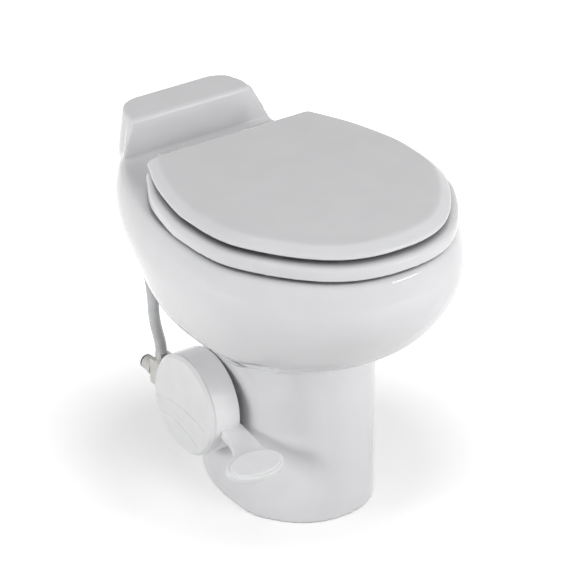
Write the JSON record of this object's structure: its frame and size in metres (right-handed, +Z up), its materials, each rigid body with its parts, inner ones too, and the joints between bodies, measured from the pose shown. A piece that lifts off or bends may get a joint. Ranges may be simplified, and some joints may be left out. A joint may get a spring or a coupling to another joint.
{
  "type": "rv toilet",
  "caption": "White RV toilet: one-piece china bowl with a raised back, enamelled seat and lid, round flush hub with foot pedal, geared ball valve and water line",
  "frame": {"origin": "centre of the outlet bore at floor level", "axes": "+Z up, front of the bowl towards -Y, flush hub on the -X side"},
  "size_m": [0.4062, 0.5616, 0.4909],
  "materials": {
    "china": "glossy white vitreous china glaze",
    "enamel": "glossy white enamel over moulded wood",
    "white_abs": "glossy white moulding",
    "white_pp": "satin white moulding",
    "natural_pp": "natural off-white moulding",
    "acetal": "off-white acetal",
    "black_rubber": "soft black",
    "grey_rubber": "soft grey",
    "white_pvc": "flexible white tube",
    "steel": "stainless",
    "spring_steel": "stainless spring wire",
    "zinc": "bright zinc"
  },
  "bodies": {
    "toilet": {"china_body": "china", "hinge_posts": "white_pp", "hinge_pins": "acetal", "hinge_bolts": "white_pp", "hinge_washers": "grey_rubber", "hinge_nuts": "white_pp", "mechanism_base": "natural_pp", "floor_gasket": "black_rubber", "ball_seal": "black_rubber", "clamp_ring": "steel", "clamp_screw": "steel", "shaft_bushings": "acetal", "shaft_o_rings": "black_rubber", "drive_plate": "white_abs", "drive_plate_screws": "steel", "return_spring": "spring_steel", "valve_body": "natural_pp", "valve_screws": "steel", "inlet_washer": "black_rubber", "supply_hose": "white_pvc", "hose_clamps": "spring_steel", "vacuum_breaker": "white_abs", "breaker_cap": "white_abs", "rim_nozzle": "white_abs", "nozzle_grommet": "grey_rubber"},
    "seat": {"seat_ring": "enamel", "seat_bumpers": "white_pvc", "seat_hinge_leaves": "white_pp", "seat_leaf_screws": "steel"},
    "lid": {"seat_lid": "enamel", "lid_bumpers": "white_pvc", "lid_hinge_leaves": "white_pp", "lid_leaf_screws": "steel"},
    "pedal": {"pedal": "white_abs", "pedal_insert": "white_abs", "pedal_cover": "white_abs", "pedal_washer": "acetal", "pedal_screw": "steel"},
    "ball": {"flush_ball": "acetal", "ball_shaft": "acetal", "ball_stub": "acetal", "pinion_gear": "acetal"},
    "plunger": {"valve_plunger": "acetal"},
    "float": {"breaker_float": "acetal"}
  },
  "joints": [
    {"name": "lid_hinge", "type": "hinge", "parent": "toilet", "child": "lid", "pos_m": [0, 0.117, 0.446], "axis": [-1, 0, 0], "range_deg": [0, 105]},
    {"name": "seat_hinge", "type": "hinge", "parent": "toilet", "child": "seat", "pos_m": [0, 0.117, 0.446], "axis": [-1, 0, 0], "range_deg": [0, 97]},
    {"name": "pedal_hinge", "type": "hinge", "parent": "toilet", "child": "pedal", "pos_m": [-0.11, 0, 0.13], "axis": [1, 0, 0], "range_deg": [0, 26], "stiffness_Nm_per_rad": 3, "springref_deg": -22.92, "deforming": ["return_spring"]},
    {"name": "ball_turn", "type": "hinge", "parent": "toilet", "child": "ball", "pos_m": [0, 0, 0.15925], "axis": [1, 0, 0], "range_deg": [0, 94]},
    {"name": "plunger_slide", "type": "slide", "parent": "toilet", "child": "plunger", "axis": [0, 1, 0], "range_m": [0, 0.0041]},
    {"name": "float_slide", "type": "slide", "parent": "toilet", "child": "float", "axis": [0, 0, 1], "range_m": [0, 0.004]}
  ],
  "couplings": [
    {"joint": "seat_hinge", "follows": "lid_hinge", "ratio": 0.92},
    {"joint": "ball_turn", "follows": "pedal_hinge", "ratio": 3.6},
    {"joint": "plunger_slide", "follows": "pedal_hinge", "m_per_rad": 0.0088147}
  ]
}
